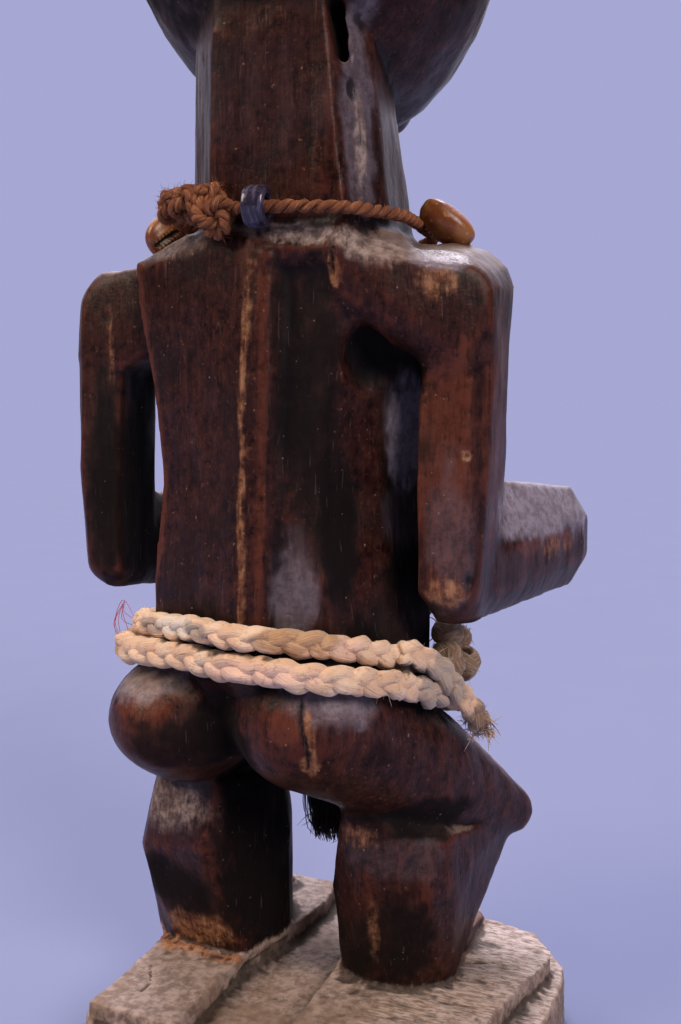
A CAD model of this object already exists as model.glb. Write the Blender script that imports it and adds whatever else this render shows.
# %% [markdown]
# A power figure in the manner of the Songye of central Africa, carved from one block of dark hardwood.
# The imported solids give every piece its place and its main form. This script cuts the finer carving into the
# wood, lays a real plait, cord, shells and fibre where the plain solids are, and gives each its finish.
# Lengths are millimetres in the code, because a carver thinks in them, and become metres in the meshes.

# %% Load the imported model
import math
import random

import bpy
import numpy as np
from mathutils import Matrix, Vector
from mathutils.bvhtree import BVHTree
from mathutils.kdtree import KDTree


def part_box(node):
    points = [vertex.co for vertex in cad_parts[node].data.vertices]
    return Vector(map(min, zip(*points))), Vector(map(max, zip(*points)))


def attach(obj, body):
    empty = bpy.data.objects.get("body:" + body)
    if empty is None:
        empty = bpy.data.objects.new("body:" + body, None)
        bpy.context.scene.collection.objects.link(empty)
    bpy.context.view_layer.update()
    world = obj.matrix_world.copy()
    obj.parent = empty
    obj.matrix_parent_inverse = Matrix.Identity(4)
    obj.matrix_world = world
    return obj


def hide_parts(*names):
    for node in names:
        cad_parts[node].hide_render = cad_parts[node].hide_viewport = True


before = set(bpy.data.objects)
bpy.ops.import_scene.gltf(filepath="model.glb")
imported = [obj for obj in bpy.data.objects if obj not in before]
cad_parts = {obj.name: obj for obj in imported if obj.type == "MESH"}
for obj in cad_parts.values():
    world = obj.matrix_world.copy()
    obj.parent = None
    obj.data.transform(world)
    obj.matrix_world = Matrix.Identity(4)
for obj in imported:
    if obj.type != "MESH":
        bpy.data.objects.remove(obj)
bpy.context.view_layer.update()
MM = 0.001
print("pieces in the frame:", ", ".join(sorted(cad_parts)))

# %% [markdown]
# The camera stands behind the figure and a little to its right, level with its upper arms, and looks down
# by a few degrees. Its place was worked out from the way the plinth's edges and the body's upright lines
# converge. The lens is given as on a full-frame camera held upright.

# %% Camera
CAMERA_AT = Vector((-146.9, 323.4, 212.5))
CAMERA_WAY = Vector((0.3827, -0.9239, -0.1018))
LENS = 38.67

camera = bpy.data.objects.new("camera", bpy.data.cameras.new("camera"))
bpy.context.scene.collection.objects.link(camera)
camera.data.lens = LENS
camera.data.clip_start = 0.01
camera.location = CAMERA_AT * MM
camera.rotation_euler = CAMERA_WAY.to_track_quat("-Z", "Y").to_euler()
bpy.context.scene.camera = camera
print("camera:", round(CAMERA_AT.z), "mm above the floor, with a lens of", LENS, "mm")

# %% [markdown]
# A surface is described by a small net of shader nodes. One helper adds a node, sets it and links it, so
# that a finish reads as a list of steps. A colour is written as the hex value a painter would pick on a
# screen, and is turned to the linear light that the renderer counts in. Old surfaces are layered, so most
# finishes here are a ground with coats over it, each showing where its pattern is strong.


# %% Helpers for finishes
def linear(hex_colour):
    """A screen colour such as '#6b4128' as linear red, green, blue and alpha."""
    channels = [int(hex_colour[i : i + 2], 16) / 255 for i in (1, 3, 5)]
    return [c / 12.92 if c <= 0.04045 else ((c + 0.055) / 1.055) ** 2.4 for c in channels] + [1.0]


def new_finish(name):
    """An empty material and its node tree."""
    material = bpy.data.materials.new(name)
    material.use_nodes = True
    material.node_tree.nodes.clear()
    return material, material.node_tree


def add(tree, kind, inputs, **settings):
    """Adds a node. inputs maps a socket's name or number to a number, a colour or the node that feeds it."""
    made = tree.nodes.new("ShaderNode" + kind)
    for name, value in settings.items():
        setattr(made, name, value)
    for name, value in inputs.items():
        named = [socket for socket in made.inputs if socket.enabled and socket.name == name]
        socket = named[0] if named else made.inputs[name]
        if isinstance(value, bpy.types.Node):
            value = [out for out in value.outputs if out.enabled][0]
        if isinstance(value, bpy.types.NodeSocket):
            tree.links.new(value, socket)
        else:
            socket.default_value = value
    return made


def coated(tree, ground, coats):
    """A colour with coats over it.

    A coat is a pattern, the values at which it begins and is full, its strength and its colour.
    """
    for pattern, begins, full, strength, tone in coats:
        stops = {"Value": pattern, "From Min": begins, "From Max": full, "To Max": strength}
        share = add(tree, "MapRange", stops, interpolation_type="SMOOTHSTEP")
        over = linear(tone) if isinstance(tone, str) else tone
        ground = add(tree, "Mix", {"Factor": share, "A": ground, "B": over}, data_type="RGBA")
    return ground


def put_on(material, *meshes):
    """Gives meshes a finish, and says how many nodes it takes."""
    for mesh in meshes:
        mesh.materials.clear()
        mesh.materials.append(material)
    print(material.name, "nodes:", len(material.node_tree.nodes))


# %% [markdown]
# The studio is a plain floor, so wide that it runs to the horizon. Its grey paint looks pale in this light,
# which comes from a tall bright window beyond the figure: it glances off everything that faces up, and
# leaves the back in half shade. The window is two things here: a soft sun above, and a room whose far side
# glows and whose near side is dim. Two weaker soft suns from the camera's side lift the browns. Suns are
# used because they light the floor evenly all the way.


# %% Floor and lights
BEYOND = (0.27, -0.65, 0.71)
FLOOR_HALF_METRES = 60.0


def studio_floor():
    """One flat square, which is marked as no part of the figure."""
    mesh = bpy.data.meshes.new("floor")
    signs = [(-1, -1), (1, -1), (1, 1), (-1, 1)]
    corners = [(x * FLOOR_HALF_METRES, y * FLOOR_HALF_METRES, 0) for x, y in signs]
    mesh.from_pydata(corners, [], [(0, 1, 2, 3)])
    floor = bpy.data.objects.new("floor", mesh)
    bpy.context.scene.collection.objects.link(floor)
    material, tree = new_finish("painted_studio_floor")
    where = add(tree, "TexCoord", {}).outputs["Object"]
    mottle = add(tree, "TexNoise", {"Vector": where, "Scale": 14.0, "Detail": 3.0})
    paint = coated(tree, linear("#6e738e"), [(mottle, 0.3, 0.7, 1.0, "#6f748f")])
    shader = add(tree, "BsdfPrincipled", {"Base Color": paint, "Roughness": 1.0, "Specular IOR Level": 0.0})
    add(tree, "OutputMaterial", {"Surface": shader})
    put_on(material, mesh)


def soft_light(name, way, disc, strength, colour):
    """A sun seen in the direction of way, whose disc is so many degrees wide."""
    data = bpy.data.lights.new(name, "SUN")
    data.energy = strength
    data.angle = math.radians(disc)
    data.color = linear(colour)[:3]
    made = bpy.data.objects.new(name, data)
    bpy.context.scene.collection.objects.link(made)
    made.rotation_euler = (-Vector(way)).to_track_quat("-Z", "Y").to_euler()


def room(seen, near, far, glow):
    """The room shows pale behind the floor, but lights the figure mainly from its far side."""
    world = bpy.data.worlds.new("room")
    bpy.context.scene.world = world
    world.use_nodes = True
    tree = world.node_tree
    tree.nodes.clear()
    way = add(tree, "TexCoord", {}).outputs["Generated"]
    faced = add(tree, "VectorMath", {0: way, 1: BEYOND}, operation="DOT_PRODUCT")
    felt = coated(tree, linear(near), [(faced, 0.4, 0.97, 1.0, far)])
    stops = {"Value": faced, "From Min": 0.5, "From Max": 0.97, "To Min": 1, "To Max": glow}
    strength = add(tree, "MapRange", stops)
    lit = add(tree, "Background", {"Color": felt, "Strength": strength})
    shown = add(tree, "Background", {"Color": linear(seen)})
    ray = add(tree, "LightPath", {}).outputs["Is Camera Ray"]
    both = add(tree, "MixShader", {0: ray, 1: lit, 2: shown})
    add(tree, "OutputWorld", {"Surface": both})


studio_floor()
room(seen="#a6a8d3", near="#1a1614", far="#cfcde4", glow=2.6)
soft_light("window", way=(0.21, -0.49, 0.86), disc=34, strength=4.2, colour="#f8f6ff")
soft_light("left_fill", way=(0.60, 0.50, 0.62), disc=30, strength=2.2, colour="#ffe9d2")
soft_light("right_fill", way=(-0.66, 0.46, 0.59), disc=26, strength=2.3, colour="#fff1ea")
bpy.context.scene.view_settings.view_transform = "Standard"
print("lights:", ", ".join(light.name for light in bpy.data.lights))

# %% [markdown]
# The carving is one block of wood, so it is one mesh. Sculptors who work on screen start from a rough form,
# give it an even fine skin, and then cut into that skin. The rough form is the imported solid. A voxel remesh
# lays a skin of small even squares over it, and each cut below moves the points of that skin.


# %% Helpers for meshes
def points_of(mesh):
    """The mesh's points in millimetres, one row each."""
    flat = np.empty(3 * len(mesh.vertices), np.float32)
    mesh.vertices.foreach_get("co", flat)
    return flat.reshape(-1, 3).astype(float) / MM


def set_points(mesh, points):
    """Moves the mesh's points to these, in millimetres."""
    mesh.vertices.foreach_set("co", (points * MM).astype(np.float32).ravel())
    mesh.update()


def normals_of(mesh):
    """The way out of the mesh at each of its points."""
    flat = np.empty(3 * len(mesh.vertices), np.float32)
    mesh.vertices.foreach_get("normal", flat)
    return flat.reshape(-1, 3).astype(float)


def edges_of(mesh):
    """The numbers of the two points at the ends of each edge."""
    flat = np.empty(2 * len(mesh.edges), np.int32)
    mesh.edges.foreach_get("vertices", flat)
    return flat.reshape(-1, 2)


def neighbour_mean(values, edges):
    """For each point, the mean of what its neighbours hold."""
    count = len(values)
    one, other = edges.T
    ends = np.concatenate([one, other])
    met = np.bincount(ends, minlength=count)
    columns = [
        np.bincount(ends, np.concatenate([column[other], column[one]]), minlength=count)
        for column in values.reshape(count, -1).T
    ]
    return (np.stack(columns, 1) / np.maximum(met, 1)[:, None]).reshape(values.shape)


def through(mesh, kind, **settings):
    """A copy of a mesh after one modifier."""
    holder = bpy.data.objects.new("holder", mesh)
    bpy.context.scene.collection.objects.link(holder)
    modifier = holder.modifiers.new(kind, kind)
    for key, value in settings.items():
        setattr(modifier, key, value)
    changed = bpy.data.meshes.new_from_object(holder.evaluated_get(bpy.context.evaluated_depsgraph_get()))
    bpy.data.objects.remove(holder)
    return changed


# Whole numbers that scramble the place of a corner into a value that looks random.
SCRAMBLE = (73856093, 19349663, 83492791)
SEED_STEP, SEED_START = 7919, 104729
MIX = 1274126177


def lattice(points, size, seed):
    """Smooth random values from -1 to 1, the same for the same seed.

    size is the width of one swell in millimetres, or its widths along the three axes.
    """
    cell = points / np.asarray(size, float) + 1000
    corner = np.floor(cell).astype(np.int64)
    share = cell - corner
    share = share * share * (3 - 2 * share)
    total = np.zeros(len(points))
    for step in np.ndindex(2, 2, 2):
        at = corner + step
        key = np.bitwise_xor.reduce(at * SCRAMBLE, axis=1) ^ (seed * SEED_STEP + SEED_START)
        key = (key ^ (key >> 13)) * MIX & 0x7FFFFFFF
        value = ((key ^ (key >> 16)) & 0xFFFF) / 32767.5 - 1
        total += value * np.where(step, share, 1 - share).prod(1)
    return total


def shade(value, low, high):
    """0 below low, 1 above high, and a smooth change between. With low above high it falls instead."""
    t = np.clip((value - low) / (high - low), 0, 1)
    return t * t * (3 - 2 * t)


def unit(rows):
    """Each row as a direction of length 1."""
    return rows / np.maximum(np.linalg.norm(rows, axis=-1, keepdims=True), 1e-9)


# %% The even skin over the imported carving
SKIN = 1.0
# Rounds of smoothing that melt the small steps between the squares.
SKIN_ROUNDS = 4

wood = through(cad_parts["figure"].data.copy(), "REMESH", mode="VOXEL", voxel_size=SKIN * MM)
P = points_of(wood)
E = edges_of(wood)
for _ in range(SKIN_ROUNDS):
    P += 0.5 * (neighbour_mean(P, E) - P)
print("points in the skin:", len(P))

# %% [markdown]
# Handling has worn the carving unevenly. The thighs, the forearms and the head are round and polished,
# while the back keeps the crisp edges of the knife. A round of smoothing rubs every edge down, so each zone
# gets its own number of rounds. Zones are soft balls, placed in the figure's own frame, in which x grows to
# its left, y to its back and z upwards.


# %% Worn zones
def ball(points, centre, radii, core=0.35):
    """1 in the core of a soft ball, falling to 0 at its radii. core is a share of the radii."""
    far = np.linalg.norm((points - centre) / np.asarray(radii, float), axis=1)
    return 1 - shade(far, core, 1.0)


def rub(points, edges, zone, rounds, firmly=0.6):
    """Smooths the points, each by how much the zone covers it."""
    covered = zone > 0.01
    near = edges[covered[edges].any(1)]
    for _ in range(rounds):
        pull = firmly * zone[covered, None]
        points[covered] += pull * (neighbour_mean(points, near) - points)[covered]
    return points


WORN = [
    # centre, radii, rounds: buttocks and thighs, then the right knee
    ((33, 22, 110), (46, 46, 34), 26),
    ((-30, 10, 104), (62, 70, 40), 26),
    ((-62, -40, 76), (26, 26, 22), 20),
    # shoulders
    ((-62, 4, 248), (28, 34, 18), 14),
    ((72, 2, 250), (24, 34, 16), 14),
    # forearms, then elbows
    ((-62, -45, 162), (26, 46, 32), 16),
    ((68, -45, 162), (26, 46, 32), 16),
    ((-54, 5, 148), (20, 30, 16), 18),
    ((68, 5, 148), (20, 30, 16), 18),
    # head and belly
    ((2, -14, 375), (90, 90, 90), 12),
    ((-2, -40, 160), (50, 60, 50), 20),
    # right armpit, and the shoulder blade beside it
    ((-31, 14, 228), (13, 20, 16), 40),
    ((-46, 19, 226), (18, 10, 16), 60),
    # lower legs
    ((-42, 8, 74), (30, 20, 11), 18),
    ((40, 6, 62), (30, 20, 15), 10),
    ((-42, 6, 60), (26, 20, 15), 14),
]
for centre, radii, rounds in WORN:
    P = rub(P, E, ball(P, centre, radii), rounds)
print("zones rubbed down:", len(WORN))

# %% [markdown]
# The top of the back ends in a crisp slope up to the neck, pared with a few flat strokes. A stroke is a
# plane through three points: what stands above it inside a soft ball is cut away.


# %% The pared slope under the neck
def pare(points, start, end, top, centre, radii):
    """Cuts away what stands above the plane through three points, within a soft ball."""
    a, b, c = (np.array(corner, float) for corner in (start, end, top))
    across = unit(np.cross(b - a, c - a))
    across = across * np.sign(across[2])
    above = np.clip((points - a) @ across, 0, None)
    zone = ball(points, centre, radii) ** 0.5
    return points - across * (above * zone)[:, None]


STROKES = [
    # start, end and top of the plane, then the centre and radii of the ball
    ((47, 22, 253.2), (11, 35.2, 258.4), (14, 30.5, 263), (28, 28, 258), (24, 14, 9)),
    ((-3.4, 35.6, 256.0), (-24, 34, 254.6), (-12, 30, 263), (-13, 33, 259), (15, 8, 8)),
    ((-24, 34, 254.6), (-57, 17, 249.5), (-45, 10, 259.5), (-41, 22, 255), (24, 18, 9)),
]
before = P.copy()
for stroke in STROKES:
    P = pare(P, *stroke)
print("deepest stroke of the knife:", round(float(np.abs(P - before).max()), 1), "mm")
set_points(wood, P)
N = normals_of(wood)

# %% [markdown]
# Each pass of an adze or a knife takes off a long shallow scoop along the grain, and the ridges between
# scoops catch the light. The scoops are scattered over the surface at random, but from a fixed seed, so the
# figure is the same each time. Only the deepest scoop counts where several meet.


# %% Tool marks
def scoops(points, normals, count, long, wide, deep, seed, zone):
    """The depth of overlapping scoops at each point. Their length runs up the figure, along the grain."""
    draw = np.random.default_rng(seed)
    depth = np.zeros(len(points))
    for k in draw.integers(0, len(points), count):
        length = long * draw.uniform(0.6, 1.4)
        width = wide * draw.uniform(0.7, 1.3)
        low = deep * draw.uniform(0.4, 1.0)
        near = np.flatnonzero(np.abs(points[:, 2] - points[k, 2]) < length)
        away = points[near] - points[k]
        across = np.cross(normals[k], (0.0, 0.0, 1.0))
        across /= max(np.linalg.norm(across), 1e-6)
        along = np.cross(across, normals[k])
        u = (away @ across) / width
        v = (away @ along) / length
        w = (away @ normals[k]) / width
        fall = np.clip(1 - u * u - v * v, 0, 1) * (np.abs(w) < 0.8)
        depth[near] = np.maximum(depth[near], low * fall)
    return depth * zone


# The plinth has no scoops: its rough end grain comes later.
above_plinth = shade(P[:, 2], 28, 36)
cut = scoops(P, N, count=900, long=15, wide=6, deep=0.38, seed=3, zone=above_plinth)
P -= N * cut[:, None]
print("deepest scoop:", round(float(cut.max()), 2), "mm")

# %% [markdown]
# Wood moves as it dries, so an old carving is never quite true. A slow swell of a third of a millimetre
# breaks the dead flat faces, and finer ripples follow the grain, which runs straight up the block.

# %% Swell and grain
RIPPLES = [
    # height, widths along the three axes, seed
    (0.35, (17, 17, 26), 1),
    (0.15, (3.2, 3.2, 16), 2),
    (0.10, (1.6, 1.6, 9), 3),
]
before = P.copy()
for height, widths, seed in RIPPLES:
    P += N * (height * lattice(P, widths, seed))[:, None]
print("the swell and the grain move a point by", round(float(np.abs(P - before).max()), 2), "mm at most")

# %% [markdown]
# Some marks are singular: drying cracks, a check in the thigh, chips at edges, the cut line beside the spine
# and the deep hollow of the armpit. Each is a groove along a few given points, or a dent round one point.


# %% Cracks, grooves and chips
def from_line(points, line):
    """The distance of each point from a line of straight pieces, and how far along the line it lies."""
    nearest = np.full(len(points), 1e9)
    place = np.zeros(len(points))
    done = 0.0
    for start, end in zip(line, line[1:]):
        a = np.asarray(start, float)
        way = np.asarray(end, float) - a
        length = np.linalg.norm(way)
        t = np.clip((points - a) @ way / length**2, 0, 1)
        far = np.linalg.norm(points - a - t[:, None] * way, axis=1)
        closer = far < nearest
        nearest[closer] = far[closer]
        place[closer] = done + t[closer] * length
        done += length
    return nearest, place / done


def groove(points, normals, line, width, depth, ragged=0.3, seed=5):
    """A crack that is deepest in the middle of its length, and a third as deep at its ends."""
    near, along = from_line(points, line)
    wander = 1 + ragged * lattice(points, 2.5, seed)
    shape = np.exp(-((near / (width * wander)) ** 2))
    taper = np.clip(4 * along * (1 - along), 0, 1) ** 0.5
    return points - normals * (depth * shape * (0.35 + 0.65 * taper))[:, None]


CRACKS = {
    # name: line, half width, depth
    "check in the thigh": (
        [(-18.0, 42, 129), (-18.8, 44, 120), (-20.9, 44, 112), (-19.5, 41, 105)],
        0.9,
        1.3,
    ),
    "across the flank": ([(-29.0, 8, 191.5), (-32, 4, 190), (-34, 0, 190.6), (-37, -4, 190)], 0.7, 1.2),
    "down the flank": ([(-34.3, 1, 216), (-34.0, 1, 203), (-34.5, 0, 191), (-34.2, 0, 176)], 0.6, 0.9),
    "neck, left of the slot": ([(-26.0, 20, 322), (-26.6, 20, 300), (-28.5, 19, 275)], 0.5, 0.5),
    "right slab": ([(-47, -14, 25), (-54, -18.8, 25), (-62, -21, 25)], 0.7, 1.0),
    "left slab": ([(46, 24, 25), (40, 33, 25), (39, 42, 25)], 0.5, 0.7),
    "beside the spine": ([(5.2, 39.5, 252), (5.6, 40, 200), (6.2, 42, 150), (6.4, 42, 135)], 1.0, 0.8),
    # A depth below zero leaves a ridge: the lip over the hollow beside the spine.
    "lip under the neck": ([(-2.5, 36, 253.6), (-12, 35.5, 253.2), (-23, 34, 253.8)], 1.5, -0.7),
}
for line, width, depth in CRACKS.values():
    P = groove(P, N, line, width, depth)

DENTS = {
    # name: centre, radii, depth
    "chip under the lip": ((-23.5, 33, 252), (1.6, 3, 8), 1.4),
    "nick on the arm": ((-59.6, 18.5, 196.8), (2.2, 3, 1.6), 0.9),
    "nick on the arm's edge": ((-60.5, 17, 160), (1.6, 3, 3.5), 0.7),
    "chip below the slot": ((-25.2, 21, 301), (1.6, 4, 5), 0.9),
    "hollow of the armpit": ((-29, 18, 226), (9, 14, 13), 4.2),
}
for centre, radii, depth in DENTS.values():
    P -= N * (depth * ball(P, centre, radii))[:, None]
print("cracks and lines:", len(CRACKS), "dents:", len(DENTS))

# %% [markdown]
# The plinth's tops are end grain, which stays rough: the tool crushes the fibres instead of slicing them.
# The right side is the roughest, with splintered edges. A crumbly crust runs along the foot of the left leg.

# %% Rough end grain
top_zone = shade(N[:, 2], 0.5, 0.9) * (1 - shade(P[:, 2], 27, 31))
coarse = lattice(P, (8, 3, 5), 11) + 0.7 * lattice(P, (4, 1.4, 3), 12)
# The left side is about a third as rough as the right one.
right_side = 0.35 + 0.65 * (1 - shade(P[:, 0], -30, -5))
LEFT_FOOT_CRUST = [(20, 11, 25.5), (32, 11, 25.5), (46, 10, 25.5), (57, 4, 25.5)]
crust = 1 - shade(from_line(P, LEFT_FOOT_CRUST)[0], 1.0, 4.5)
P += N * (crust * np.clip(0.5 + lattice(P, 2.4, 15) + 0.6 * lattice(P, 1.3, 16), 0, 1.3))[:, None]
P += N * (0.42 * coarse * top_zone * right_side)[:, None]
edge_zone = (1 - shade(P[:, 2], 25, 27)) * (1 - top_zone)
P += N * (0.4 * lattice(P, (4, 4, 2.5), 13) * edge_zone * right_side)[:, None]
# Nothing may sink into the floor.
P[:, 2] = np.maximum(P[:, 2], 0)
set_points(wood, P)
print("share of the skin that is rough end grain:", round(float((top_zone > 0.5).mean()), 3))

# %% [markdown]
# The even skin has more squares than the file should carry. A decimation merges them where the wood is
# plain and keeps them where it bends, so edges and cracks stay sharp. Every piece made here then joins the
# model the same way: it rides on the one body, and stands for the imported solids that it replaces.


# %% Lighten the skin
def new_piece(name, mesh, slot, *nodes):
    """A piece of the figure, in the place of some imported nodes."""
    piece = bpy.data.objects.new(name, mesh)
    bpy.context.scene.collection.objects.link(piece)
    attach(piece, "root")
    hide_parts(*nodes)
    return piece


TRIANGLES = 190_000

# Each square is two triangles.
wood_triangles = 2 * len(wood.polygons)
wood = through(wood, "DECIMATE", ratio=TRIANGLES / wood_triangles)
for polygon in wood.polygons:
    polygon.use_smooth = True
new_piece("carved_figure", wood, "dark_wood", "figure")
print("faces of the carving:", len(wood.polygons))

# %% [markdown]
# Patina follows the form. Hands polish the ridges until reddish wood shows, soot and oil stay in the
# hollows, and dust settles on what faces up. Four maps are measured on the finished mesh: how far a point
# stands proud of its surroundings, how far it lies below them, how little open space it sees, and how much
# it faces up.


# %% Measure the patina maps
def keep_map(mesh, name, values):
    """Stores one number for each point, where the finish can read it by name."""
    layer = mesh.attributes.new(name, "FLOAT", "POINT")
    layer.data.foreach_set("value", np.clip(values, 0, 1).astype(np.float32))


def proud(points, normals, edges, rounds):
    """How far each point stands out from its smoothed surroundings, in millimetres."""
    soft = points.copy()
    for _ in range(rounds):
        soft = 0.5 * soft + 0.5 * neighbour_mean(soft, edges)
    return ((points - soft) * normals).sum(1)


def openness(points, normals, tree, samples, reach_mm, seed, lift=0.6, buried=0.05):
    """The share of directions in which a point sees nothing near it, measured on every twelfth point."""
    draw = random.Random(seed)
    some = np.arange(0, len(points), 12)
    open_share = np.zeros(len(some))
    for n, k in enumerate(some):
        normal = Vector(normals[k])
        start = Vector(points[k]) + normal * lift
        free = 0
        for _ in range(samples):
            way = Vector((draw.gauss(0, 1), draw.gauss(0, 1), draw.gauss(0, 1))).normalized() + normal
            free += tree.ray_cast(start, way.normalized(), reach_mm)[0] is None
        open_share[n] = free / samples
    # A point with no open direction lies buried in another strand, and says nothing of the skin around it.
    lookup = KDTree(len(some))
    for n in np.flatnonzero(open_share > buried):
        lookup.insert(points[some[n]], n)
    lookup.balance()
    near = [[n for _, n, _ in lookup.find_n(p, 4)] for p in points]
    return open_share[np.array(near)].mean(1)


def solid_tree(*names):
    """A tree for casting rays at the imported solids, in millimetres."""
    corners, faces = [], []
    for name in names:
        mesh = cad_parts[name].data
        first = len(corners)
        corners += [v.co / MM for v in mesh.vertices]
        faces += [[first + i for i in p.vertices] for p in mesh.polygons]
    return BVHTree.FromPolygons(corners, faces)


P = points_of(wood)
N = normals_of(wood)
E = edges_of(wood)
edge = proud(P, N, E, rounds=12)
seen = openness(P, N, solid_tree("figure", "belt_rope"), samples=14, reach_mm=60, seed=8)
keep_map(wood, "worn_edge", shade(edge, 0.08, 0.5))
keep_map(wood, "crevice", shade(-edge, 0.05, 0.4))
keep_map(wood, "soot", 1 - shade(seen, 0.2, 0.75))
# The crown is oiled and handled, so less dust stays on it than on the shoulders.
keep_map(wood, "upward", shade(N[:, 2], 0.35, 0.9) * (1 - 0.75 * shade(P[:, 2], 300, 360)))
print("share of the surface in deep hollows:", round(float((seen < 0.4).mean()), 2))

# %% [markdown]
# The rest of the patina is where the object's life put it, so it is placed by hand: soft balls for patches
# and lines for streaks, each broken up at its border by random swells.

# %% Where the wear and the dirt lie
PALE = [
    # centre, radii and strength of each patch: wood rubbed down to its pale tan
    ((-49, 20, 246), (14, 6, 6), 0.6),
    ((-59.6, 18.5, 196.8), (2.5, 3, 2.2), 0.9),
    ((-29, 11, 45), (3.5, 6, 18), 0.35),
    ((-54, 18, 156), (9, 6, 8), 0.6),
    ((-72, -50, 164), (9, 26, 6), 0.4),
    ((-21, 43, 107), (5, 5, 5), 0.6),
    ((36, 10, 32), (22, 8, 10), 0.5),
    ((-24, 13, 76), (12, 6, 5), 0.5),
]
GREY = [
    # dry grey wood and dust
    ((-27, 20, 285), (3, 4, 30), 0.6),
    ((-38, 27, 257), (26, 13, 8), 0.75),
    ((-13, 32, 260), (16, 6, 6), 0.7),
    ((30, 27, 259), (22, 12, 6), 0.45),
    ((40, 36, 127), (20, 14, 10), 0.45),
    ((44, 14, 78), (28, 12, 14), 0.45),
]
FILM = [
    # greasy grey film that shines
    ((-70, -48, 178), (22, 80, 16), 1.0),
    ((-52, 18, 253), (18, 10, 6), 1.0),
    ((-31, 37, 127), (30, 18, 15), 0.6),
    ((40, 36, 126), (24, 16, 12), 0.5),
    ((44, 14, 78), (30, 12, 17), 0.25),
    ((-38, 11, 70), (32, 12, 12), 0.25),
    ((-35, 1, 203), (9, 15, 26), 1.0),
    ((-28, 21, 302), (9, 12, 60), 0.45),
    ((-13, 36, 156), (13, 8, 22), 0.45),
    ((-54, 16, 175), (12, 8, 40), 0.3),
]
RED = [
    # red-brown wood along rubbed edges
    ((-14, 45, 119), (9, 7, 9), 0.9),
    ((38, 41, 118), (18, 9, 5), 0.8),
    ((-12, 38, 196), (5, 8, 60), 0.4),
    ((-52, 16, 192), (14, 9, 60), 0.75),
    ((20, 34, 200), (22, 10, 55), 0.25),
    ((-72, -45, 165), (10, 60, 6), 0.8),
    ((-64, 4, 205), (5, 16, 60), 0.6),
    ((38, 8, 38), (24, 12, 14), 0.5),
    ((-30, 12, 40), (7, 6, 26), 0.5),
]
SLATE = [
    # facets burnished to a cool grey shine
    ((-34.5, 2, 210), (9, 17, 20), 1.0),
    ((-34.5, 2, 178), (8, 16, 17), 0.9),
    ((-13, 35, 160), (11, 8, 24), 0.6),
    ((0, 30, 300), (40, 14, 30), 0.3),
]
BLACK = [
    # thick old soot and oil
    ((-17, 33, 212), (16, 12, 56), 0.85),
    ((-29, 17, 227), (9, 14, 13), 1.0),
    ((-23, 27, 174), (9, 14, 36), 1.0),
    ((3, 30, 108), (9, 26, 16), 1.0),
    ((0, 6, 350), (90, 80, 40), 1.0),
    ((26, 43, 108), (22, 16, 12), 0.8),
    ((-54, 6, 143), (14, 16, 7), 0.8),
    ((64, 8, 185), (14, 20, 66), 1.0),
    ((13, 37, 110), (15, 20, 22), 1.0),
    ((-38, 12, 42), (24, 14, 24), 0.85),
    ((42, 12, 48), (24, 14, 18), 1.0),
    ((-10, 32, 232), (9, 9, 26), 0.6),
    ((19, 2, 60), (13, 26, 48), 1.0),
    ((-10, 2, 50), (7, 26, 40), 0.8),
    ((-50, 6, 82), (46, 24, 10), 1.0),
    ((-44, 30, 108), (18, 12, 9), 0.6),
    ((4, -20, 24), (22, 34, 6), 0.45),
]
STREAKS = {
    # map: line, half width and strength of each streak
    "red": [
        (
            [
                (47, 22, 253), (43, 23, 225), (41, 23.5, 210),
                (38.2, 24, 190.5), (37, 25, 181), (40.5, 26, 150),
            ],
            2.6,
            0.9,
        ),
        ([(-4, 37.1, 252), (-4.3, 38.1, 212), (-4, 39.2, 184), (-4, 41, 155)], 1.8, 0.5),
        ([(-58, 17.6, 229.5), (-58.6, 17.8, 207), (-59.7, 18.4, 184), (-60.1, 17.1, 172)], 1.4, 1.0),
        ([(44, 22, 121), (34, 42, 119), (20, 46, 117)], 4.5, 0.5),
    ],
    "pale": [
        ([(-0.1, 36.7, 252), (2, 37.5, 230), (2.7, 38.7, 195), (2.4, 39.6, 178), (1.9, 41, 148)], 1.7, 0.55),
        ([(-20.4, 43, 130), (-20.8, 44, 120), (-22.6, 44, 110), (-21, 41, 104)], 1.5, 0.95),
        (LEFT_FOOT_CRUST, 2.8, 1.0),
        ([(-23.7, 33.5, 254.4), (-24, 32, 246)], 1.6, 0.9),
        ([(62, 17, 246), (61, 17.5, 212)], 1.6, 0.4),
    ],
}


# %% Lay the patches and the streaks on the wood
def patches(points, table, seed):
    """The strongest patch at each point, broken up at its border."""
    broken = 0.3 * lattice(points, 5, seed) + 0.25 * lattice(points, 1.8, seed + 1)
    found = []
    for centre, radii, strength in table:
        cover = ball(points, centre, radii)
        found.append(strength * shade(cover + broken * shade(cover, 0, 0.5), 0.05, 0.95))
    return np.max(found, axis=0)


def streaks(points, table, seed):
    """The strongest streak at each point. Each comes and goes along its line."""
    broken = 0.8 * lattice(points, (2, 2, 14), seed) + 0.5 * lattice(points, (1, 1, 3), seed + 1)
    found = []
    for line, half, strength in table:
        away = from_line(points, line)[0] / half
        found.append(strength * (1 - shade(away + broken, 0.3, 1.2)))
    return np.max(found, axis=0)


keep_map(wood, "pale", np.maximum(patches(P, PALE, 21), streaks(P, STREAKS["pale"], 31)))
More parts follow.
